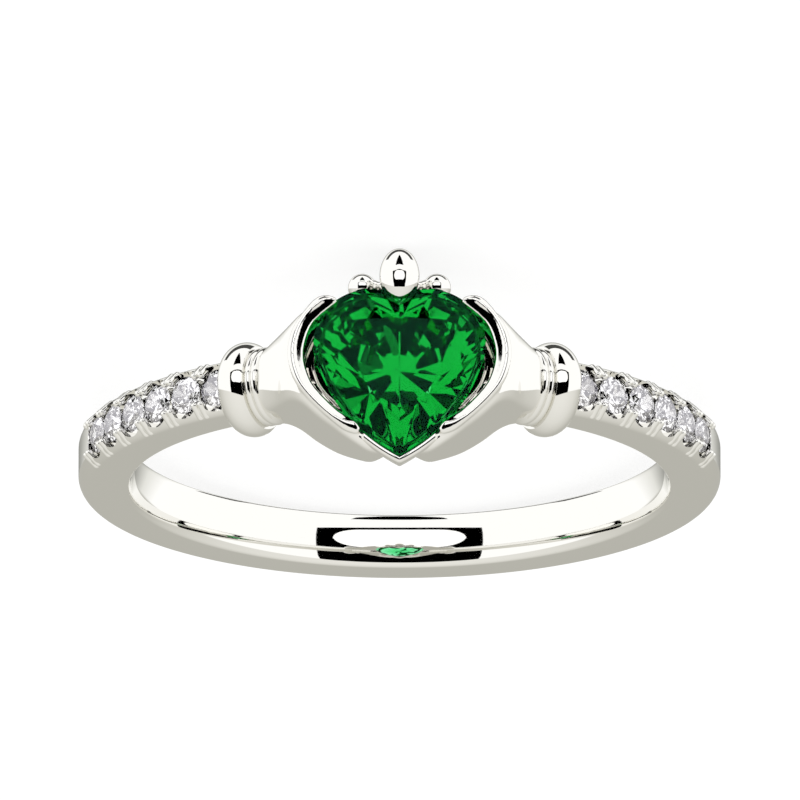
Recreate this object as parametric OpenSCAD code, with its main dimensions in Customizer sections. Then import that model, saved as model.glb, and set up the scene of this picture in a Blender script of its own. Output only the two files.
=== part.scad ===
// Claddagh ring: two hands hold a crowned heart stone, on a slim band whose shoulders are set with stones.
// The modules are written as the ring is worn: x runs across the finger, y along the finger towards the
// crown, and z out of the finger through the heart stone. The finger hole's axis is y, through the origin.
// lying() then lays the ring on its crown and on the back of its band, with the surface at z = 0.

/* [Band] */
// Diameter of the finger hole
finger_d = 17.3; // [16.9:0.1:17.7]
// Thickness of the band, from the finger outwards
band_t = 1.76; // [1.7:0.02:1.8]
// Width of the band, along the finger
band_w = 1.8; // [1.7:0.05:1.9]
// Radius of the two outer edges of the band
outer_edge_r = 0.45; // [0.3:0.05:0.5]
// Radius of the two inner edges of the band
inner_edge_r = 0.2; // [0.1:0.05:0.25]

/* [Stone rows] */
// Diameter of one accent stone
accent_d = 1.22; // [1.1:0.02:1.24]
// Number of accent stones on each shoulder
accent_count = 6; // [4:1:6]
// Angle from one accent stone to the next
accent_step = 7.3; // [7.2:0.05:7.4]
// Angle from the heart stone to the first accent stone
accent_start = 34.9; // [34.6:0.1:35.6]

/* [Cuffs] */
// Angle from the heart stone to each cuff
cuff_angle = 30.7; // [30.2:0.1:31.2]
// Outer radius of the cuff's round bead
cuff_r = 1.54; // [1.45:0.01:1.6]
// Half the width of the bead
bead_half = 0.47; // [0.42:0.01:0.5]
// Outer radius of the two thin ridges beside the bead
ridge_r = 1.27; // [1.2:0.01:1.3]

/* [Heart stone] */
// Height of the girdle above the middle of the finger hole
girdle_z = 11.3; // [11.2:0.05:11.4]
// Radius of each lobe of the heart
lobe_r = 1.82; // [1.78:0.01:1.84]
// Radius of the long flanks of the heart
flank_r = 5.4; // [5.2:0.05:5.6]
// Height of the table above the girdle
table_h = 0.85; // [0.6:0.05:0.9]
// Depth of the culet below the girdle
culet_h = 2.25; // [2.0:0.05:2.3]

/* [Crown] */
// Radius of the tall middle bead
tall_bead_r = 0.65; // [0.6:0.01:0.68]
// Radius of the two small beads
small_bead_r = 0.46; // [0.42:0.01:0.48]

/* [Hidden] */
$fn = 64;

fit_gap = 0.03;
head_relief = 0.02;
finger_r = finger_d / 2;
band_r = finger_r + band_t;
cuff_axis_r = 9.5;

// Places of the crown's beads
tall_bead = [0, 3.12, 11.5];
small_bead = [1.2, 2.7, 10.6];

// How the ring lies: the surface touches the tall bead and the outer edge at the back of the band
back_edge_z = band_r - outer_edge_r;
back_edge_y = band_w / 2 - outer_edge_r;
span = [tall_bead[2] + back_edge_z, tall_bead[1] - back_edge_y];
lie_angle = atan2(span[1], span[0]) + asin((tall_bead_r - outer_edge_r) / norm(span));
lie_height = tall_bead[1] * cos(lie_angle) - tall_bead[2] * sin(lie_angle) + tall_bead_r;
back_reach = back_edge_z * cos(lie_angle) + back_edge_y * sin(lie_angle) + outer_edge_r;
front_reach = tall_bead[2] * cos(lie_angle) + tall_bead[1] * sin(lie_angle) + tall_bead_r;

// Lays the worn ring down, with the middle of its box over the origin
module lying() {
    translate([0, (front_reach - back_reach) / 2, lie_height])
        rotate([lie_angle - 90, 0, 180])
            children();
}

// Turns a shape about z into one about the finger's axis
module about_finger() {
    rotate([90, 0, 0]) children();
}

// Places a shape on the band at an angle from the heart stone, with its z outwards
module on_band(angle, radius) {
    rotate([0, angle, 0])
        translate([0, 0, radius])
            children();
}

module both_sides() {
    children();
    mirror([1, 0, 0]) children();
}

// Points of an arc from angle a to angle b
function arc(centre, r, a, b, steps) =
    [for (i = [0:steps]) let (t = a + (b - a) * i / steps) centre + r * [cos(t), sin(t)]];

// A smooth curve through the rows of a table, with some steps between each two rows
function blend(p, q, r, s, t) =
    (2 * q + (r - p) * t + (2 * p - 5 * q + 4 * r - s) * t * t + (3 * q - p - 3 * r + s) * t * t * t) / 2;
function curve(rows, steps) = concat(
    [for (i = [0:len(rows) - 2], k = [0:steps - 1])
        blend(rows[max(i - 1, 0)], rows[i], rows[i + 1], rows[min(i + 2, len(rows) - 1)], k / steps)],
    [rows[len(rows) - 1]]);

// A closed solid through rings of points of one length, which run clockwise seen from the last ring
module skin(rings) {
    n = len(rings[0]);
    last = len(rings) - 1;
    walls = [for (i = [0:last - 1], k = [0:n - 1])
        let (a = i * n + k, b = i * n + (k + 1) % n)
            each [[a, b, a + n], [b, b + n, a + n]]];
    ends = [[for (k = [n - 1:-1:0]) k], [for (k = [0:n - 1]) last * n + k]];
    polyhedron(points = [for (ring = rings) each ring], faces = concat(walls, ends));
}

// The band's cross-section: x is the distance from the finger's axis
module rounded_corner(x, y, r) {
    translate([x, y]) circle(r);
}

module band_section() {
    half = band_w / 2;
    inner_x = finger_r + inner_edge_r;
    outer_x = band_r - outer_edge_r;
    translate([inner_x, -half]) square([outer_x - inner_x, band_w]);
    translate([finger_r, inner_edge_r - half]) square([inner_edge_r, band_w - 2 * inner_edge_r]);
    translate([outer_x, outer_edge_r - half]) square([outer_edge_r, band_w - 2 * outer_edge_r]);
    for (side = [-1, 1]) {
        rounded_corner(inner_x, side * (half - inner_edge_r), inner_edge_r);
        rounded_corner(outer_x, side * (half - outer_edge_r), outer_edge_r);
    }
}

// Accent stones: round brilliants whose girdle lies a little under the band's surface
accent_girdle_r = band_r - 0.14;
accent_table_h = 0.19;
accent_culet_h = 0.5;
accent_edge = 0.02;
accent_table_r = 0.34;
link_r = 9.92;
link_size = [1.32, 0.4, 0.14];
seat_r = 0.49;
seat_floor_r = 9.71;
scallop_r = 0.84;
scallop_floor_r = 10.12;

module accent_stone() {
    rotate_extrude()
        polygon([
            [0, -accent_culet_h],
            [accent_d / 2, -accent_edge],
            [accent_d / 2, accent_edge],
            [accent_table_r, accent_table_h],
            [0, accent_table_h]
        ]);
}

// A row is one solid: hidden links join its stones inside the band
module accent_row() {
    for (i = [0:accent_count - 1])
        on_band(accent_start + i * accent_step, accent_girdle_r)
            accent_stone();
    for (i = [0.5:accent_count - 1.5])
        on_band(accent_start + i * accent_step, link_r)
            cube(link_size, center = true);
}

// Each stone rests on the rim of a drilled seat, in a scallop that shows its side and leaves a prong
// between each two stones. Slots hold the links.
module accent_seats() {
    for (i = [0:accent_count - 1])
        on_band(accent_start + i * accent_step, 0) {
            translate([0, 0, seat_floor_r]) cylinder(r = seat_r, h = 2);
            translate([0, 0, scallop_floor_r]) cylinder(r = scallop_r, h = 2);
        }
    slot_half = link_size[1] / 2 + fit_gap;
    for (i = [0.5:accent_count - 1.5])
        on_band(accent_start + i * accent_step, link_r - link_size[2] / 2 - fit_gap)
            translate([-link_size[0] / 2, -slot_half, 0])
                cube([link_size[0], 2 * slot_half, 2]);
}

// The first stone reaches a little way under the cuff's bead
module accent_undercut() {
    on_band(accent_start, accent_girdle_r - accent_culet_h - fit_gap)
        cylinder(r = accent_d / 2 + fit_gap, h = accent_culet_h + accent_table_h + 2 * fit_gap);
}

module band() {
    open_half = cuff_angle - 1;
    difference() {
        about_finger()
            rotate([0, 0, 90 + open_half])
                rotate_extrude(angle = 360 - 2 * open_half)
                    band_section();
        both_sides() accent_seats();
    }
}

// Cuff: a round bead and two thin ridges, turned about an axis that runs along the band
ridge_half = 0.135;
ridge_places = [0.6, 0.87];
core_r = 1.1;

module cuff() {
    on_band(cuff_angle, cuff_axis_r)
        rotate([0, -90, 0])
            rotate_extrude() {
                translate([0, -bead_half]) square([cuff_r - bead_half, 2 * bead_half]);
                intersection() {
                    translate([cuff_r - bead_half, 0]) circle(bead_half);
                    translate([0, -bead_half]) square([cuff_r, 2 * bead_half]);
                }
                square([core_r, 1.15]);
                for (h = ridge_places) {
                    translate([0, h - ridge_half]) square([ridge_r - ridge_half, 2 * ridge_half]);
                    translate([ridge_r - ridge_half, h]) circle(ridge_half);
                }
            }
}

// Hand: cross-sections from the wrist to the fingertips, square to x
// Columns: distance from the middle, top, low, front, back, squareness of the corners
hand_rows = [
    [4.75, 1.10, -1.08, 9.50, 7.00, 2.0],
    [4.40, 1.24, -1.06, 9.80, 7.10, 2.0],
    [4.00, 1.50, -1.02, 10.30, 7.30, 2.2],
    [3.60, 1.76, -1.02, 11.10, 7.50, 2.4],
    [3.20, 1.98, -1.18, 11.60, 7.70, 2.7],
    [2.70, 2.22, -1.62, 11.68, 7.90, 3.0],
    [2.25, 2.25, -1.98, 11.68, 8.10, 3.2],
    [1.85, 1.60, -2.32, 11.64, 8.50, 3.2],
    [1.30, 0.20, -2.70, 11.50, 9.10, 3.0],
    [0.90, -0.90, -2.88, 11.10, 9.40, 2.6],
    [0.50, -1.70, -2.80, 10.70, 9.70, 2.2]
];
hand_sides = 20;

function power_side(v, n) = sign(v) * pow(abs(v), 2 / n);
function hand_ring(row) = [for (k = [0:hand_sides - 1])
    let (t = 360 * k / hand_sides)
        [row[0],
         (row[1] + row[2]) / 2 + (row[1] - row[2]) / 2 * power_side(cos(t), row[5]),
         (row[3] + row[4]) / 2 + (row[3] - row[4]) / 2 * power_side(sin(t), row[5])]];

module hand() {
    skin([for (row = curve(hand_rows, 2)) hand_ring(row)]);
}

// Heart outline: a lobe's arc runs smoothly into a long flank's arc, which ends at the tip
lobe = [0.95, 0.6];
tip = [0, -3.2];
cleft_y = 1.86;
cleft_half = 0.45;
tip_line = (tip - lobe) / norm(tip - lobe);
along_tip_line = (pow(flank_r - lobe_r, 2) - flank_r * flank_r + pow(norm(tip - lobe), 2))
    / (2 * norm(tip - lobe));
off_tip_line = sqrt(pow(flank_r - lobe_r, 2) - along_tip_line * along_tip_line);
flank = lobe + along_tip_line * tip_line + off_tip_line * [tip_line[1], -tip_line[0]];
join_angle = atan2(lobe[1] - flank[1], lobe[0] - flank[0]);

function heart_side(grow) = concat(
    arc(lobe, lobe_r + grow, acos((cleft_half - lobe[0]) / (lobe_r + grow)), join_angle, 9),
    arc(flank, flank_r + grow, join_angle - 6, -acos(-flank[0] / (flank_r + grow)), 6));
function mirrored(points) = [for (i = [len(points) - 1:-1:0]) [-points[i][0], points[i][1]]];
function without_last(points) = [for (i = [0:len(points) - 2]) points[i]];
function heart(grow) = concat(
    [[0, cleft_y + grow]], heart_side(grow), mirrored(without_last(heart_side(grow))));

// The stone is a heart brilliant: table, sloping crown, thin girdle, and a pavilion down to the culet
stone_middle = [0, -0.2];
table_share = 0.6;
culet_share = 0.05;
table_polish = 0.01;
girdle_half = 0.06;

function heart_level(grow, share, z) =
    [for (p = heart(grow)) let (q = stone_middle + share * (p - stone_middle)) [q[0], q[1], z]];

module stone(grow) {
    skin([
        heart_level(grow, culet_share, girdle_z - culet_h - grow),
        heart_level(grow, 1, girdle_z - girdle_half - grow),
        heart_level(grow, 1, girdle_z + girdle_half + grow),
        heart_level(grow, table_share, girdle_z + table_h + grow)
    ]);
}

// The hollow in the palms beside the stone, widest in the middle of each palm
palm_edge = [
    [2.10, 1.98], [2.80, 1.38], [3.08, 0.76], [3.16, 0.18], [3.05, -0.37],
    [2.77, -0.91], [2.00, -1.69], [1.20, -2.05]
];

module palm_hollow() {
    edge = curve(palm_edge, 2);
    translate([0, 0, girdle_z - 0.35])
        linear_extrude(2)
            polygon(concat(edge, mirrored(edge)));
}

// Gallery: the open heart-shaped frame under the stone, which joins hands, crown and tip
module heart_frame(outer, inner, low, high) {
    translate([0, 0, low])
        linear_extrude(high - low)
            difference() {
                polygon(heart(outer));
                polygon(heart(inner));
            }
}

// The lip that guards the tip of the heart
tip_lip_half = 1.25;

module tip_lip() {
    intersection() {
        heart_frame(0.26, -0.3, girdle_z - 0.4, girdle_z + 0.12);
        translate([-tip_lip_half, -4, girdle_z - 1]) cube([2 * tip_lip_half, 1.8, 2]);
    }
}

// Crown: a tall bead over the cleft and a small bead on each side, on posts from the gallery
module bead_on_post(place, bead_r, post_r, foot_z) {
    translate(place) sphere(bead_r);
    translate([place[0], place[1] - 0.12, foot_z]) cylinder(r = post_r, h = place[2] - foot_z);
}

module crown() {
    bead_on_post(tall_bead, tall_bead_r, 0.42, 9.2);
    translate([0, 2.35, 11.45]) sphere(0.5);
    both_sides() bead_on_post(small_bead, small_bead_r, 0.3, 9.2);
    translate([-small_bead[0], small_bead[1], small_bead[2]])
        rotate([0, 90, 0])
            cylinder(r = 0.25, h = 2 * small_bead[0]);
    translate([-small_bead[0], 1.7, 8]) cube([2 * small_bead[0], 1.05, 1.7]);
}

module head() {
    difference() {
        union() {
            both_sides() hand();
            heart_frame(-0.1, -0.55, 8, girdle_z - 0.35);
            tip_lip();
            crown();
        }
        translate([0, 0, 7]) linear_extrude(girdle_z - 7) polygon(heart(-0.55));
        palm_hollow();
        stone(fit_gap);
    }
}

// The cuffs and the head stand back a little from the finger, so the band alone carries the ring's size
module cuffs_and_head() {
    difference() {
        union() {
            both_sides() cuff();
            head();
        }
        both_sides() accent_undercut();
        about_finger() cylinder(r = finger_r + head_relief, h = 12, center = true);
    }
}

module ring_metal() {
    color("gainsboro")
        lying() {
            band();
            cuffs_and_head();
        }
}

module heart_stone() {
    color("seagreen")
        lying()
            difference() {
                stone(0);
                translate([-3, -3, girdle_z + table_h - table_polish]) cube(6);
            }
}

module accent_row_left() {
    color("lavender") lying() mirror([1, 0, 0]) accent_row();
}

module accent_row_right() {
    color("lavender") lying() accent_row();
}

ring_metal();
heart_stone();
accent_row_left();
accent_row_right();
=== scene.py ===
"""Claddagh ring in polished silver, each piece modelled in millimetres as the ring is worn."""

import math

import bpy
from mathutils import Matrix, Vector

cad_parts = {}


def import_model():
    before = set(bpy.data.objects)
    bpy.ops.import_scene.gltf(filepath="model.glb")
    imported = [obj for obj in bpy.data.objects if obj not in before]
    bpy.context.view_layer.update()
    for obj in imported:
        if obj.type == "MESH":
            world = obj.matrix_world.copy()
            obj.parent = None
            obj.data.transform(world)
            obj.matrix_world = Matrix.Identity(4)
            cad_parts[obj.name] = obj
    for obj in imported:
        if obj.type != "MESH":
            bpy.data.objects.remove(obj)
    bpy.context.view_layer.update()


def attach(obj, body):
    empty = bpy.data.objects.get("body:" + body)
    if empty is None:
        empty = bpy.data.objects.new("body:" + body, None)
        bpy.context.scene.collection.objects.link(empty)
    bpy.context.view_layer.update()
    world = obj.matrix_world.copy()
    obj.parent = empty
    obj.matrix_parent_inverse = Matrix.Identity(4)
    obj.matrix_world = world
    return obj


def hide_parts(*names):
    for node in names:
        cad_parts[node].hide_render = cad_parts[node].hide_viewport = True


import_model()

MM = 0.001
FINGER_R = 8.65
BAND_R = 10.41
BAND_W = 1.8
OUTER_EDGE = 0.45
INNER_EDGE = 0.14
INNER_EDGE_R = FINGER_R + 0.25
COMFORT_R = 2.9
COMFORT_HALF = 15
HEAD_RELIEF = 0.02
CUT_REACH = 20

# The tall bead as the ring lies on it, and as an egg that leans from the finger's direction

TALL_BEAD = Vector((0, 3.12, 11.5))
TALL_BEAD_R = 0.65
EGG_PLACE = Vector((0, 2.83, 11.5))
EGG_SIZE = Vector((0.645, 0.96, 0.62))
EGG_LEAN = 13
SMALL_BEAD = Vector((1.2, 2.7, 10.6))
SMALL_BEAD_R = 0.46
NECK = Vector((0.86, 2.66, 10.6))
NECK_R = 0.3
CROSS_ROD_Y = 2.68
CROSS_ROD_R = 0.22
POST_R = 0.42
POST_FOOT = 9.2
CROWN_VOXEL = 0.03

CUFF_ANGLE = 30.7
CUFF_AXIS_R = 9.5
CUFF_R = 1.54
BEAD_R = 0.616
BEAD_SHIFT = 0.073
RIDGE_R = 1.27
RIDGE_HALF = 0.12
RIDGES = (0.64, 0.87)
CUFF_CORE_R = 1.1
CUFF_ENDS = (-0.45, 1.05)

ACCENT_COUNT = 6
ACCENT_STEP = 7.3
ACCENT_START = 34.9
ACCENT_R = 0.61
ACCENT_TABLE_H = 0.19
ACCENT_CULET_H = 0.5
ACCENT_TABLE_R = 0.314
ACCENT_GIRDLE_HALF = 0.02
ACCENT_GIRDLE_R = BAND_R - 0.14
SCALLOP_R = 0.78
SCALLOP_FLOOR_R = 10.02
SEAT_R = 0.49
SEAT_FLOOR_R = 9.71
PRONG_R = 0.125
PRONG_LEAN = 0.72
# Each from the band's middle line outwards, and over its outside
PRONG_TOP = (0.50, 0.02)
PRONG_FOOT = (0.80, -0.30)

GIRDLE_Z = 11.3

# The ring lies on its crown and on the outer edge at the back of its band
BACK_Z = BAND_R - OUTER_EDGE
BACK_Y = BAND_W / 2 - OUTER_EDGE
SPAN = Vector((TALL_BEAD.z + BACK_Z, TALL_BEAD.y - BACK_Y))
LIE = math.atan2(SPAN.y, SPAN.x) + math.asin((TALL_BEAD_R - OUTER_EDGE) / SPAN.length)
LIFT = TALL_BEAD.y * math.cos(LIE) - TALL_BEAD.z * math.sin(LIE) + TALL_BEAD_R
BACK_REACH = BACK_Z * math.cos(LIE) + BACK_Y * math.sin(LIE) + OUTER_EDGE
FRONT_REACH = TALL_BEAD.z * math.cos(LIE) + TALL_BEAD.y * math.sin(LIE) + TALL_BEAD_R
MIDDLE = Vector((0, (FRONT_REACH - BACK_REACH) / 2, LIFT))
LYING = (
    Matrix.Scale(MM, 4)
    @ Matrix.Translation(MIDDLE)
    @ Matrix.Rotation(math.pi, 4, "Z")
    @ Matrix.Rotation(LIE - math.pi / 2, 4, "X")
)


# Ways of making a piece

def deselect():
    bpy.ops.object.select_all(action="DESELECT")


def activate(piece):
    deselect()
    piece.select_set(True)
    bpy.context.view_layer.objects.active = piece


def added(name):
    piece = bpy.context.object
    piece.name = name
    piece.data.name = name
    return piece


def editing(piece):
    activate(piece)
    bpy.ops.object.mode_set(mode="EDIT")


def done():
    bpy.ops.object.mode_set(mode="OBJECT")


def apply_modifier(piece, kind, **settings):
    activate(piece)
    modifier = piece.modifiers.new(kind.lower(), kind)
    for key, value in settings.items():
        setattr(modifier, key, value)
    bpy.ops.object.modifier_apply(modifier=modifier.name)


def line_of(name, points):
    """One vertex, extruded from point to point."""
    deselect()
    bpy.ops.mesh.primitive_plane_add(size=1)
    piece = added(name)
    bpy.ops.object.mode_set(mode="EDIT")
    bpy.ops.mesh.merge(type="CENTER")
    bpy.ops.transform.translate(value=Vector(points[0]))
    for a, b in zip(points, points[1:]):
        bpy.ops.mesh.extrude_vertices_move(
            TRANSFORM_OT_translate={"value": Vector(b) - Vector(a)}
        )
    done()
    return piece


def close_up(piece, distance=1e-4):
    """Merges doubles and turns all faces outwards."""
    editing(piece)
    bpy.ops.mesh.select_all(action="SELECT")
    bpy.ops.mesh.remove_doubles(threshold=distance)
    bpy.ops.mesh.normals_make_consistent(inside=False)
    done()


def spun(piece, centre, axis, steps, angle=2 * math.pi):
    editing(piece)
    bpy.ops.mesh.select_all(action="SELECT")
    bpy.ops.mesh.spin(steps=steps, angle=angle, center=centre, axis=axis)
    done()
    close_up(piece)
    return piece


def lofted(name, rings):
    """A circle, extruded through rings of points and closed at both ends."""
    count = len(rings[0])
    deselect()
    bpy.ops.mesh.primitive_circle_add(vertices=count, radius=1, fill_type="NGON")
    piece = added(name)
    bpy.ops.object.mode_set(mode="EDIT")
    for _ in rings[1:]:
        bpy.ops.mesh.extrude_region_move(TRANSFORM_OT_translate={"value": (0, 0, 1)})
    done()
    order = sorted(piece.data.vertices, key=lambda v: round(v.co.z))
    for level, ring in enumerate(rings):
        row = order[level * count:(level + 1) * count]
        row.sort(key=lambda v: math.atan2(v.co.y, v.co.x) % (2 * math.pi))
        for vertex, place in zip(row, ring):
            vertex.co = place
    close_up(piece, 1e-6)
    return piece


def combined(name, pieces):
    activate(pieces[0])
    for piece in pieces[1:]:
        piece.select_set(True)
    bpy.ops.object.join()
    return added(name)


def cut(piece, cutter, operation="DIFFERENCE"):
    apply_modifier(piece, "BOOLEAN", object=cutter, operation=operation, solver="EXACT")
    bpy.data.objects.remove(cutter)


def cast(piece, voxel, rounds):
    """One skin round all that overlaps, smoothed as cast and polished metal is."""
    apply_modifier(piece, "REMESH", mode="VOXEL", voxel_size=voxel)
    apply_modifier(piece, "SMOOTH", factor=0.5, iterations=rounds)


def finger_bar():
    """Cuts the head and the cuffs a little wider than the band, which alone carries the ring's size."""
    deselect()
    bpy.ops.mesh.primitive_cylinder_add(
        radius=FINGER_R + HEAD_RELIEF, depth=CUT_REACH, vertices=256, rotation=(math.pi / 2, 0, 0)
    )
    return added("finger")


def rounded(piece, width, segments):
    """Rounds the sharp edges."""
    apply_modifier(
        piece, "BEVEL", width=width, segments=segments,
        limit_method="ANGLE", angle_limit=math.radians(50),
    )


def ball(place, radius, segments=48):
    deselect()
    bpy.ops.mesh.primitive_uv_sphere_add(
        segments=segments, ring_count=segments // 2, radius=radius, location=place
    )
    return added("ball")


def rod(start, end, radius, vertices=48):
    start, end = Vector(start), Vector(end)
    deselect()
    bpy.ops.mesh.primitive_cylinder_add(
        radius=radius,
        depth=(end - start).length,
        vertices=vertices,
        location=(start + end) / 2,
        rotation=(end - start).to_track_quat("Z", "Y").to_euler(),
    )
    return added("rod")


def settle(piece):
    """Puts what an object is turned or moved by into its mesh."""
    activate(piece)
    bpy.ops.object.transform_apply(location=True, rotation=True, scale=True)
    return piece


def copied(piece, name, place):
    """A copy with its own mesh, put at a place."""
    activate(piece)
    bpy.ops.object.duplicate()
    twin = added(name)
    twin.matrix_world = place
    return settle(twin)


def facet(piece, point, normal):
    """Grinds a flat facet: all that lies outside a plane is cut off and the cut is closed."""
    editing(piece)
    bpy.ops.mesh.select_all(action="SELECT")
    bpy.ops.mesh.bisect(plane_co=point, plane_no=normal, clear_outer=True, use_fill=True)
    done()


def mirrored(piece, name):
    activate(piece)
    bpy.ops.object.duplicate()
    twin = added(name)
    bpy.ops.object.mode_set(mode="EDIT")
    bpy.ops.mesh.select_all(action="SELECT")
    bpy.ops.transform.mirror(constraint_axis=(True, False, False), center_override=(0, 0, 0))
    bpy.ops.mesh.normals_make_consistent(inside=False)
    done()
    return twin


def on_band(angle, radius, side=1):
    """The frame of a place on the band: its z points out of the finger, its y along the finger."""
    turn = Matrix.Rotation(math.radians(angle * side), 4, "Y")
    return turn @ Matrix.Translation((0, 0, radius))


def along(rows, steps):
    """A smooth curve through rows of numbers, with some steps between each two rows."""
    last = len(rows) - 1
    found = []
    for i in range(last):
        p, q, r, s = (rows[max(i - 1, 0)], rows[i], rows[i + 1], rows[min(i + 2, last)])
        for k in range(steps):
            t = k / steps
            found.append([
                (2 * b + (c - a) * t + (2 * a - 5 * b + 4 * c - d) * t * t
                 + (3 * b - a - 3 * c + d) * t ** 3) / 2
                for a, b, c, d in zip(p, q, r, s)
            ])
    return found + [list(rows[last])]


def arc(centre, radius, start, end, steps):
    """Points of an arc in a plane, from one angle to another in degrees."""
    turns = [math.radians(start + (end - start) * i / steps) for i in range(steps + 1)]
    return [(centre[0] + radius * math.cos(t), centre[1] + radius * math.sin(t)) for t in turns]


# Metal

def band():
    half = BAND_W / 2
    corners = (
        arc((BAND_R - OUTER_EDGE, half - OUTER_EDGE), OUTER_EDGE, 0, 90, 10)
        + arc((INNER_EDGE_R, half - INNER_EDGE), INNER_EDGE, 90, 150, 5)
        + arc((FINGER_R + COMFORT_R, 0), COMFORT_R, 180 - COMFORT_HALF, 180 + COMFORT_HALF, 16)
        + arc((INNER_EDGE_R, INNER_EDGE - half), INNER_EDGE, 210, 270, 5)
        + arc((BAND_R - OUTER_EDGE, OUTER_EDGE - half), OUTER_EDGE, 270, 360, 10)
    )
    piece = line_of("band", [(x, y, 0) for x, y in corners + corners[:1]])
    spun(piece, (0, 0, 0), (0, 1, 0), 360)
    # The band ends inside the cuffs, so that the stone has its room
    half_turn = math.radians(CUFF_ANGLE - 1)
    wide, high = CUT_REACH * math.sin(half_turn), CUT_REACH * math.cos(half_turn)
    cut(piece, lofted("opening", [
        [(0, y, 0), (wide, y, high), (-wide, y, high)] for y in (-2, 2)
    ]))
    for side in (-1, 1):
        for i in range(ACCENT_COUNT):
            turn = on_band(ACCENT_START + i * ACCENT_STEP, 0, side)
            for floor_r, radius in ((SCALLOP_FLOOR_R, SCALLOP_R), (SEAT_FLOOR_R, SEAT_R)):
                drill = rod((0, 0, floor_r), (0, 0, floor_r + 2), radius, 96)
                drill.matrix_world = turn @ drill.matrix_world
                cut(piece, drill)
    return piece


def prongs(side, name):
    """Two raised fingers at each edge of the band, between each two stones and past the last one."""
    parts = []
    for i in range(ACCENT_COUNT):
        for edge in (-1, 1):
            for lean in (-PRONG_LEAN, PRONG_LEAN):
                place = on_band(ACCENT_START + (i + 0.5) * ACCENT_STEP + lean, 0, side)
                top, foot = [
                    place @ Vector((0, edge * out, BAND_R + over)) for out, over in (PRONG_TOP, PRONG_FOOT)
                ]
                parts += [ball(top, PRONG_R, 20), ball(foot, PRONG_R, 20)]
                parts.append(rod(top, foot, PRONG_R, 20))
    return combined(name, [settle(part) for part in parts])


def cuff():
    """A round bead and two thin ridges, turned about an axis that runs along the band."""
    low, high = CUFF_ENDS
    profile = [(0, low)]
    profile += arc((CUFF_R - BEAD_R, BEAD_SHIFT), BEAD_R, -90, 47, 28)
    for place in RIDGES:
        profile += arc((RIDGE_R - RIDGE_HALF, place), RIDGE_HALF, -70, 70, 10)
    profile += [(CUFF_CORE_R, high), (0, high)]
    centre = on_band(CUFF_ANGLE, CUFF_AXIS_R)
    axis = (centre.to_3x3() @ Vector((-1, 0, 0))).normalized()
    points = [centre @ Vector((-h, 0, r)) for r, h in profile]
    piece = line_of("cuff_right", points)
    spun(piece, centre.translation, axis, 128)
    cut(piece, finger_bar())
    return piece


# Each ring of a hand from the cuff to the fingertips: x, upper side, lower side, front, back, squareness
HAND_ROWS = [
    (4.75, 0.95, -1.05, 9.50, 7.00, 2.7),
    (4.40, 1.08, -1.05, 9.80, 7.10, 2.8),
    (4.00, 1.30, -1.05, 10.30, 7.30, 3.4),
    (3.60, 1.50, -1.10, 10.95, 7.50, 4.4),
    (3.20, 1.80, -1.32, 11.35, 7.70, 5.0),
    (2.70, 2.12, -1.76, 11.45, 7.90, 5.0),
    (2.25, 2.24, -2.10, 11.45, 8.10, 5.0),
    (1.85, 1.60, -2.40, 11.42, 8.50, 5.0),
    (1.30, 0.20, -2.74, 11.30, 9.10, 4.5),
    (0.90, -0.90, -2.88, 11.05, 9.40, 4.0),
    (0.50, -1.70, -2.80, 10.70, 9.70, 3.0),
]
LIP_PATH = [
    (2.02, 2.02, 11.38), (2.50, 1.92, 11.42), (2.95, 1.40, 11.42), (3.24, 0.86, 11.42),
    (3.34, 0.22, 11.42), (3.18, -0.48, 11.42), (2.82, -1.00, 11.42), (2.20, -1.62, 11.42),
    (1.68, -2.05, 11.40), (1.28, -2.33, 11.36),
]
LIP_HALF = 0.27
LIP_RISE = 0.14
HAND_VOXEL = 0.032
# The hollow in the palms: a share of the palm edge, and the height over the girdle
HOLLOW = ((0.88, -0.62), (0.98, 0.12), (1.08, 0.23), (1.11, 1.2))
PALM_EDGE = [
    (2.10, 1.98), (2.80, 1.38), (3.08, 0.76), (3.16, 0.18), (3.05, -0.37),
    (2.77, -0.91), (2.00, -1.69), (1.20, -2.05),
]


def power(value, squareness):
    return math.copysign(abs(value) ** (2 / squareness), value)


def hand_ring(row, sides):
    x, top, low, front, back, squareness = row
    ring = []
    for k in range(sides):
        t = 2 * math.pi * k / sides
        # The lower edge of the hand is sharper than the upper one
        corner = squareness if math.cos(t) > 0 else squareness ** 1.5 - 2
        ring.append((
            x,
            (top + low) / 2 + (top - low) / 2 * power(math.cos(t), corner),
            (front + back) / 2 + (front - back) / 2 * power(math.sin(t), corner),
        ))
    return ring


def tube(name, path, radii, sides=24):
    """An oval bar along a path, with its own share of the full size at each point."""
    rings = []
    for i, place in enumerate(path):
        before, after = path[max(i - 1, 0)], path[min(i + 1, len(path) - 1)]
        way = (Vector(after) - Vector(before)).normalized()
        across = way.cross(Vector((0, 0, 1))).normalized()
        upward = across.cross(way)
        turns = [2 * math.pi * k / sides for k in range(sides)]
        rings.append([
            Vector(place)
            + radii[i] * (LIP_HALF * across * math.cos(t) + LIP_RISE * upward * math.sin(t))
            for t in turns
        ])
    return lofted(name, rings)


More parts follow.
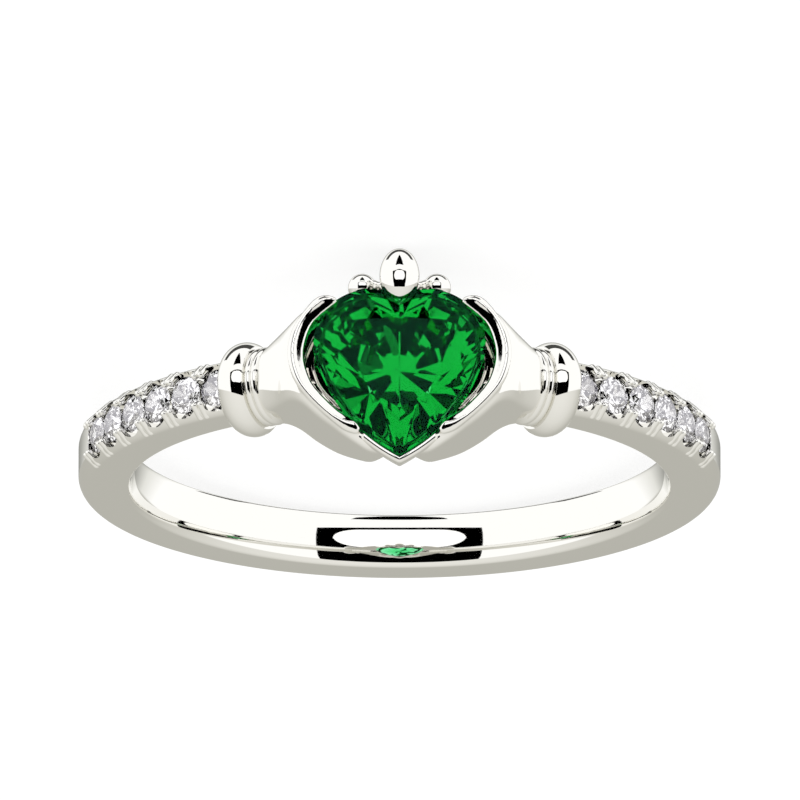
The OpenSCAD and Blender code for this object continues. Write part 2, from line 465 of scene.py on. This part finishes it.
# The heart outline: a lobe's arc runs smoothly into a long flank's arc, which ends at the tip
LOBE = Vector((0.95, 0.6))
LOBE_R = 1.82
FLANK_R = 5.4
TIP = Vector((0, -3.2))
TIP_LINE = (TIP - LOBE).normalized()
TIP_FAR = (TIP - LOBE).length
ALONG = ((FLANK_R - LOBE_R) ** 2 - FLANK_R ** 2 + TIP_FAR ** 2) / (2 * TIP_FAR)
OFF = math.sqrt((FLANK_R - LOBE_R) ** 2 - ALONG ** 2)
FLANK = LOBE + ALONG * TIP_LINE + OFF * Vector((TIP_LINE.y, -TIP_LINE.x))
JOIN = math.degrees(math.atan2(LOBE.y - FLANK.y, LOBE.x - FLANK.x))
STONE_MIDDLE = Vector((0, -0.15))
WINDOW_INSET = 0.55
WINDOW_LOW = 7


def half_heart(grow):
    cleft = math.degrees(math.acos(-LOBE.x / (LOBE_R + grow)))
    tip = -math.degrees(math.acos(-FLANK.x / (FLANK_R + grow)))
    return arc(LOBE, LOBE_R + grow, cleft, JOIN, 36) + arc(FLANK, FLANK_R + grow, JOIN, tip, 18)[1:]


def heart(grow):
    half = half_heart(grow)
    return half + [(-x, y) for x, y in reversed(half[1:-1])]


def heart_block(name, grow, low, high):
    return lofted(name, [[(x, y, z) for x, y in heart(grow)] for z in (low, high)])


def open_inside(piece):
    """Opens a piece under the stone and along the finger."""
    cut(piece, heart_block("window", -WINDOW_INSET, WINDOW_LOW, GIRDLE_Z))
    cut(piece, finger_bar())


def hand():
    body = lofted("hand_right", [hand_ring(row, 72) for row in along(HAND_ROWS, 4)])
    path = along(LIP_PATH, 4)
    last = len(path) - 1
    taper = [math.sqrt(min(1, (i + 0.5) / 4, (last - i + 0.5) / 4)) for i in range(last + 1)]
    lip = tube("lip", path, taper)
    piece = combined("hand_right", [body, lip])
    apply_modifier(piece, "REMESH", mode="VOXEL", voxel_size=HAND_VOXEL)
    edge = along(PALM_EDGE, 3)
    loop = edge + [(-x, y) for x, y in reversed(edge)]
    cut(piece, lofted("hollow", [
        [(share * x, share * y, GIRDLE_Z + over) for x, y in loop] for share, over in HOLLOW
    ]))
    open_inside(piece)
    cast(piece, HAND_VOXEL, 7)
    return piece


def gallery():
    """The open frame under the stone, which joins the hands, the crown and the tip."""
    piece = heart_block("gallery", -0.1, 9.85, GIRDLE_Z - 0.4)
    open_inside(piece)
    rounded(piece, 0.05, 3)
    return piece


def tip_lip():
    """The rounded lip that guards the tip of the heart."""
    piece = heart_block("tip_lip", 0.17, GIRDLE_Z - 0.36, GIRDLE_Z + 0.04)
    cut(piece, heart_block("window", -0.12, WINDOW_LOW, GIRDLE_Z + 2))
    rounded(piece, 0.13, 6)
    bpy.ops.mesh.primitive_cube_add(size=1, location=(*TIP, GIRDLE_Z))
    box = added("box")
    box.dimensions = (2.3, 2.1, 3)
    cut(piece, settle(box), "INTERSECT")
    return piece


def crown():
    """A tall egg between two small beads, which a rod and their necks join to it, on three posts."""
    egg = ball((0, 0, 0), 1, 64)
    egg.matrix_world = (
        Matrix.Translation(EGG_PLACE)
        @ Matrix.Rotation(math.radians(-EGG_LEAN), 4, "X")
        @ Matrix.Diagonal(Vector((*EGG_SIZE, 1)))
    )
    parts = [egg]
    for side in (-1, 1):
        place = Vector((side * SMALL_BEAD.x, SMALL_BEAD.y, SMALL_BEAD.z))
        parts.append(ball(place, SMALL_BEAD_R))
        parts.append(ball((side * NECK.x, NECK.y, NECK.z), NECK_R))
        parts.append(rod(place - Vector((0, 0.1, 0)), (place.x, place.y - 0.12, POST_FOOT), 0.3))
    ends = [(side * SMALL_BEAD.x, CROSS_ROD_Y, SMALL_BEAD.z) for side in (-1, 1)]
    parts.append(rod(*ends, CROSS_ROD_R))
    parts.append(rod((0, 3.0, 11.2), (0, 3.0, POST_FOOT), POST_R))
    piece = combined("crown", [settle(part) for part in parts])
    cast(piece, CROWN_VOXEL, 6)
    return piece


def metal_pieces():
    pieces = [band()]
    right = cuff()
    pieces += [right, mirrored(right, "cuff_left")]
    right = hand()
    pieces += [right, mirrored(right, "hand_left")]
    pieces += [crown(), gallery(), tip_lip()]
    pieces += [prongs(1, "prongs_right"), prongs(-1, "prongs_left")]
    return pieces


# Stones

def round_brilliant():
    """Table, 8 stars, 8 bezels and 16 girdle facets above; 8 mains and 16 girdle facets below."""
    bpy.ops.mesh.primitive_cylinder_add(
        radius=ACCENT_R, depth=ACCENT_TABLE_H + ACCENT_CULET_H, vertices=64,
        location=(0, 0, (ACCENT_TABLE_H - ACCENT_CULET_H) / 2),
    )
    piece = settle(added("accent_stone"))

    def ring(start, radius, height, slope, face):
        for k in range(8):
            t = math.radians(start + 45 * k)
            out = Vector((math.cos(t), math.sin(t), 0))
            tilt = math.radians(slope)
            facet(piece, out * radius + Vector((0, 0, height)),
                  out * math.sin(tilt) + Vector((0, 0, face * math.cos(tilt))))

    for face, main, girdle in ((1, 32.2, 37), (-1, 38.2, 40.5)):
        ring(0, ACCENT_R, face * ACCENT_GIRDLE_HALF, main, face)
        for turn in (11.25, -11.25):
            ring(turn, ACCENT_R * 0.99, face * ACCENT_GIRDLE_HALF, girdle, face)
        if face > 0:
            ring(22.5, ACCENT_TABLE_R, ACCENT_TABLE_H, 21, face)
    close_up(piece, 1e-5)
    return piece


def accent_stones():
    pattern = round_brilliant()
    stones = []
    for side, word in ((-1, "left"), (1, "right")):
        for i in range(ACCENT_COUNT):
            place = on_band(ACCENT_START + i * ACCENT_STEP, ACCENT_GIRDLE_R, side)
            turn = Matrix.Rotation(math.radians(17 * i + 5), 4, "Z")
            stones.append((word, copied(pattern, f"accent_stone_{word}_{i + 1}", place @ turn)))
    bpy.data.objects.remove(pattern)
    return stones


def support(angle):
    """The outline's point that lies farthest in a direction, and that direction."""
    way = Vector((math.cos(math.radians(angle)), math.sin(math.radians(angle))))
    return (LOBE + LOBE_R * way if angle > JOIN else FLANK + FLANK_R * way), way


# Facet directions on the right half, in degrees from x
HEART_MAINS = (106, 62, 14, -35, -57)
HEART_STARS = (84, 38, -19, -61)
HEART_TABLE_H = 0.85
HEART_CULET_H = 2.25
HEART_TABLE_SHARE = 0.57
GIRDLE_HALF = 0.05


def heart_stone():
    """A heart brilliant, ground on one half and mirrored across the cleft and the tip."""
    piece = lofted("cut_heart", [
        [(x, y, z) for x, y in half_heart(0)] for z in (-HEART_CULET_H, HEART_TABLE_H)
    ])

    def grind(angle, share, height, steepness, top):
        """A facet above or below the girdle, at a share of the way out from the middle."""
        edge, way = support(angle)
        reach = (edge - STONE_MIDDLE).dot(way)
        rise = HEART_TABLE_H - GIRDLE_HALF if top > 0 else HEART_CULET_H - GIRDLE_HALF
        run = reach * (1 - HEART_TABLE_SHARE if top > 0 else 1)
        tilt = math.atan2(rise * steepness, run)
        place = STONE_MIDDLE + way * reach * share
        facet(piece, (place.x, place.y, top * height),
              (way.x * math.sin(tilt), way.y * math.sin(tilt), top * math.cos(tilt)))

    for angle in HEART_MAINS:
        grind(angle, 1, GIRDLE_HALF, 1, 1)
        grind(angle, 1, GIRDLE_HALF, 1, -1)
    for angle in HEART_STARS:
        grind(angle, HEART_TABLE_SHARE * 0.94, HEART_TABLE_H, 0.6, 1)
    for angle, after in zip(HEART_MAINS, HEART_MAINS[1:]):
        for part in (0.27, 0.73):
            grind(angle + part * (after - angle), 1, GIRDLE_HALF, 1.25, 1)
            grind(angle + part * (after - angle), 1, GIRDLE_HALF, 1.035, -1)
    editing(piece)
    bpy.ops.mesh.select_all(action="DESELECT")
    done()
    for face in piece.data.polygons:
        face.select = face.normal.x < -0.999 and abs(face.center.x) < 1e-4
    editing(piece)
    bpy.ops.mesh.delete(type="FACE")
    done()
    whole = combined("cut_heart", [piece, mirrored(piece, "other_half")])
    close_up(whole, 1e-4)
    whole.matrix_world = Matrix.Translation((0, 0, GIRDLE_Z))
    return settle(whole)


def lay(piece, smooth=True):
    """Turns a piece from the way it is worn to the way it lies, in metres."""
    piece.matrix_world = LYING @ piece.matrix_world
    settle(piece)
    if smooth:
        bpy.ops.object.shade_smooth_by_angle(angle=math.radians(35))
    else:
        bpy.ops.object.shade_flat()
    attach(piece, "root")


# Materials

def linear(code):
    """A colour's sRGB hex value as linear light."""
    parts = [int(code[i:i + 2], 16) / 255 for i in (1, 3, 5)]
    return [c / 12.92 if c <= 0.04045 else ((c + 0.055) / 1.055) ** 2.4 for c in parts] + [1]


def node(tree, kind, **settings):
    """Adds a node. A setting is one of its properties, or an input with a value or an output to link."""
    made = tree.nodes.new(kind)
    for key, value in settings.items():
        if hasattr(made, key):
            setattr(made, key, value)
        elif isinstance(value, bpy.types.NodeSocket):
            tree.links.new(value, made.inputs[key])
        else:
            made.inputs[key].default_value = value
    return made


def spread(tree, value, low, high):
    made = node(tree, "ShaderNodeMapRange", Value=value)
    made.inputs["From Min"].default_value = low
    made.inputs["From Max"].default_value = high
    return made.outputs["Result"]


def ramp(tree, value, stops):
    made = node(tree, "ShaderNodeValToRGB", Fac=value)
    bar = made.color_ramp.elements
    while len(bar) < len(stops):
        bar.new(0.5)
    for element, (place, colour) in zip(bar, stops):
        element.position = place
        element.color = linear(colour)
    return made.outputs["Color"]


def material(name):
    made = bpy.data.materials.new(name)
    made.use_nodes = True
    return made, made.node_tree.nodes["Principled BSDF"]


def silver():
    """Sterling silver, cast, buffed and rhodium plated: a mirror with the faintest polishing waves."""
    made, shader = material("rhodium_plated_silver")
    tree = made.node_tree
    shader.inputs["Base Color"].default_value = linear("#F1F0EC")
    shader.inputs["Metallic"].default_value = 1
    place = node(tree, "ShaderNodeTexCoord").outputs["Object"]
    # Buffing leaves patches about 1.5 mm across that are a little less bright
    patches = node(tree, "ShaderNodeTexNoise", Vector=place, Scale=700.0, Detail=3.0)
    haze = node(tree, "ShaderNodeMapRange", Value=patches.outputs["Fac"])
    haze.inputs["To Min"].default_value = 0.01
    haze.inputs["To Max"].default_value = 0.05
    tree.links.new(haze.outputs["Result"], shader.inputs["Roughness"])
    # Waves of 2 mm and a thousandth of a millimetre deep, as a soft wheel leaves them
    waves = node(tree, "ShaderNodeTexNoise", Vector=place, Scale=500.0, Detail=1.0)
    bump = node(tree, "ShaderNodeBump", Height=waves.outputs["Fac"], Distance=0.000004, Strength=0.5)
    tree.links.new(bump.outputs["Normal"], shader.inputs["Normal"])
    return made


def gem(name, ior, tint, density, shine, glint):
    """A faceted stone, polished on a lap: light enters through the outside and is thrown about inside."""
    made = bpy.data.materials.new(name)
    made.use_nodes = True
    tree = made.node_tree
    tree.nodes.remove(tree.nodes["Principled BSDF"])
    # A real zirconia mirrors 0.13 head on. The heart is given less, so that its green stays deep,
    # and the small stones more, so that they stay bright
    entry = node(tree, "ShaderNodeBsdfRefraction", IOR=ior, Roughness=0.0)
    mirror = node(tree, "ShaderNodeBsdfGlossy", Color=linear(glint), Roughness=0.0)
    outside = node(tree, "ShaderNodeMixShader")
    outside.inputs[0].default_value = shine
    tree.links.new(entry.outputs[0], outside.inputs[1])
    tree.links.new(mirror.outputs[0], outside.inputs[2])
    inside = node(tree, "ShaderNodeBsdfGlass", IOR=ior, Roughness=0.0)
    both = node(tree, "ShaderNodeMixShader")
    tree.links.new(node(tree, "ShaderNodeNewGeometry").outputs["Backfacing"], both.inputs[0])
    tree.links.new(outside.outputs[0], both.inputs[1])
    tree.links.new(inside.outputs[0], both.inputs[2])
    tree.links.new(both.outputs[0], tree.nodes["Material Output"].inputs["Surface"])
    # The colour grows with the way that light goes through the stone
    body = node(tree, "ShaderNodeVolumeAbsorption", Color=linear(tint), Density=density)
    tree.links.new(body.outputs["Volume"], tree.nodes["Material Output"].inputs["Volume"])
    return made


# Studio

# The photo looks down on the worn ring by this angle
PHOTO_TILT = 16.85
VIEW = math.radians(PHOTO_TILT) + LIE
UP = Vector((0, -math.sin(VIEW), -math.cos(VIEW)))
BACK = Vector((0, -math.cos(VIEW), math.sin(VIEW)))
CAMERA_FAR = 1150
FRAME_WIDTH = 25.944
FRAME_ACROSS = -0.016
FRAME_UP = 2.053
SENSOR = 36


def camera():
    aim = (Vector((FRAME_ACROSS, MIDDLE.y, MIDDLE.z)) + UP * FRAME_UP) * MM
    bpy.ops.object.camera_add(
        location=aim + BACK * CAMERA_FAR * MM, rotation=(VIEW - math.pi / 2, 0, math.pi)
    )
    cam = added("camera")
    cam.data.lens = SENSOR * CAMERA_FAR / FRAME_WIDTH
    cam.data.sensor_width = SENSOR
    cam.data.clip_start = 0.1
    cam.data.clip_end = 10
    bpy.context.scene.camera = cam


def floor():
    """A white sweep. The polished metal mirrors the light tent and not the floor."""
    bpy.ops.mesh.primitive_plane_add(size=4)
    piece = added("floor")
    piece.visible_glossy = False
    piece.visible_transmission = False
    made, shader = material("white_floor")
    shader.inputs["Base Color"].default_value = linear("#8C8C8C")
    shader.inputs["Roughness"].default_value = 0.8
    shader.inputs["Emission Color"].default_value = linear("#FFFFFF")
    shader.inputs["Emission Strength"].default_value = 0.75
    piece.data.materials.append(made)


# The studio's own directions: x across the picture, y up it, z towards the camera
STUDIO = Matrix.Translation(MIDDLE * MM) @ Matrix((
    (-1, UP.x, BACK.x, 0), (0, UP.y, BACK.y, 0), (0, UP.z, BACK.z, 0), (0, 0, 0, 1)
))


def glow(name, colour, strength=1):
    made = bpy.data.materials.new(name)
    made.use_nodes = True
    tree = made.node_tree
    tree.nodes.remove(tree.nodes["Principled BSDF"])
    light = node(tree, "ShaderNodeEmission")
    light.inputs["Color"].default_value = linear(colour)
    light.inputs["Strength"].default_value = strength
    tree.links.new(light.outputs[0], tree.nodes["Material Output"].inputs["Surface"])
    return made


def unseen(piece):
    """A stage piece that only the metal and the stones mirror."""
    piece.visible_transmission = False
    piece.visible_camera = False
    piece.visible_diffuse = False
    piece.visible_shadow = False


def card(name, made, across, height, half_across, half_height, far=0.3, corner=0, pointed=False):
    """A card in the studio, placed by the angles in degrees at which the middle of the ring sees it."""
    deselect()
    bpy.ops.mesh.primitive_plane_add(size=2)
    piece = added(name)
    bpy.ops.object.mode_set(mode="EDIT")
    bpy.ops.transform.resize(value=(
        far * math.tan(math.radians(half_across)), far * math.tan(math.radians(half_height)), 1
    ))
    if corner:
        bpy.ops.mesh.bevel(offset=corner, segments=8, affect="VERTICES")
    done()
    for vertex in piece.data.vertices:
        if pointed and vertex.co.y > 0:
            vertex.co.x = 0
    piece.matrix_world = (
        STUDIO
        @ Matrix.Rotation(math.radians(across), 4, "Y")
        @ Matrix.Rotation(math.radians(-height), 4, "X")
        @ Matrix.Translation((0, 0, far))
    )
    piece.data.materials.append(made)
    unseen(piece)
    return piece


def tent():
    """The light tent: white above, a grey table below, lighter towards the camera."""
    deselect()
    bpy.ops.mesh.primitive_uv_sphere_add(segments=96, ring_count=48, radius=0.5)
    piece = added("light_tent")
    piece.matrix_world = STUDIO
    made = glow("tent_cloth", "#FFFFFF")
    tree = made.node_tree
    place = node(tree, "ShaderNodeTexCoord")
    split = node(tree, "ShaderNodeSeparateXYZ", Vector=place.outputs["Object"])
    table = ramp(tree, spread(tree, split.outputs["Z"], -0.5, 0.5), [
        (0.0, "#AFAEA7"), (0.12, "#B4B3AC"), (0.32, "#C9C8C2"), (0.6, "#DAD9D4"), (1.0, "#E6E5E1")
    ])
    cloth = ramp(tree, spread(tree, split.outputs["Z"], -0.5, 0.5), [
        (0.0, "#8A8A86"), (0.02, "#A4A49F"), (0.07, "#E0E0DC"), (0.15, "#FFFFFF"), (1.0, "#FFFFFF")
    ])
    side = ramp(tree, spread(tree, split.outputs["Y"], -0.5, 0.5), [
        (0.0, "#000000"), (0.48, "#000000"), (0.49, "#FFFFFF"), (1.0, "#FFFFFF")
    ])
    both = node(tree, "ShaderNodeMix", data_type="RGBA")
    tree.links.new(side, both.inputs["Factor"])
    tree.links.new(table, both.inputs["A"])
    tree.links.new(cloth, both.inputs["B"])
    tree.links.new(both.outputs["Result"], tree.nodes["Emission"].inputs["Color"])
    tree.nodes["Emission"].inputs["Strength"].default_value = 1.15
    piece.data.materials.append(made)
    unseen(piece)


def stone_tent():
    """What the stones see through their facets: bright cloth broken by dark cards, so that they sparkle."""
    deselect()
    bpy.ops.mesh.primitive_uv_sphere_add(segments=96, ring_count=48, radius=0.48)
    piece = added("stone_tent")
    piece.matrix_world = STUDIO
    made = glow("patched_cloth", "#FFFFFF", 1.5)
    tree = made.node_tree
    place = node(tree, "ShaderNodeTexCoord")
    patches = node(tree, "ShaderNodeTexVoronoi", Vector=place.outputs["Object"], Scale=16.0)
    tone = node(tree, "ShaderNodeSeparateColor", Color=patches.outputs["Color"])
    shades = ramp(tree, tone.outputs[0], [
        (0.0, "#000000"), (0.36, "#101010"), (0.42, "#FFFFFF"), (1.0, "#FFFFFF")
    ])
    tree.links.new(shades, tree.nodes["Emission"].inputs["Color"])
    piece.data.materials.append(made)
    unseen(piece)
    piece.visible_glossy = False
    piece.visible_transmission = True


def cards():
    black = glow("black_card", "#000000")
    white = glow("softbox", "#FFFFFF", 1.3)
    card("black_panel", black, 0, 24, 36, 27)
    card("window", white, 0, 35.5, 28, 12.5, far=0.29, corner=0.07)
    card("overhead", black, 0, 82, 18, 17, pointed=True)
    card("back_card", glow("grey_card", "#4C4C4A"), 180, 52, 40, 11)


def world():
    made = bpy.data.worlds.new("studio")
    bpy.context.scene.world = made
    made.use_nodes = True
    made.node_tree.nodes["Background"].inputs["Color"].default_value = (1, 1, 1, 1)
    made.node_tree.nodes["Background"].inputs["Strength"].default_value = 1.15
    bpy.context.scene.view_settings.view_transform = "Standard"


metal = silver()
for piece in metal_pieces():
    lay(piece)
    piece.data.materials.append(metal)
    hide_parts("ring_metal")

green = gem("green_gem", 2.1, "#00E8A8", 900.0, 0.035, "#58D09A")
clear = gem("clear_zirconia", 2.15, "#FCFBFF", 20.0, 0.38, "#FBF9FF")
stone = heart_stone()
lay(stone, smooth=False)
stone.data.materials.append(green)
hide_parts("heart_stone")
for word, stone in accent_stones():
    lay(stone, smooth=False)
    stone.data.materials.append(clear)
    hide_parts("accent_row_" + word)

camera()
floor()
tent()
stone_tent()
cards()
world()
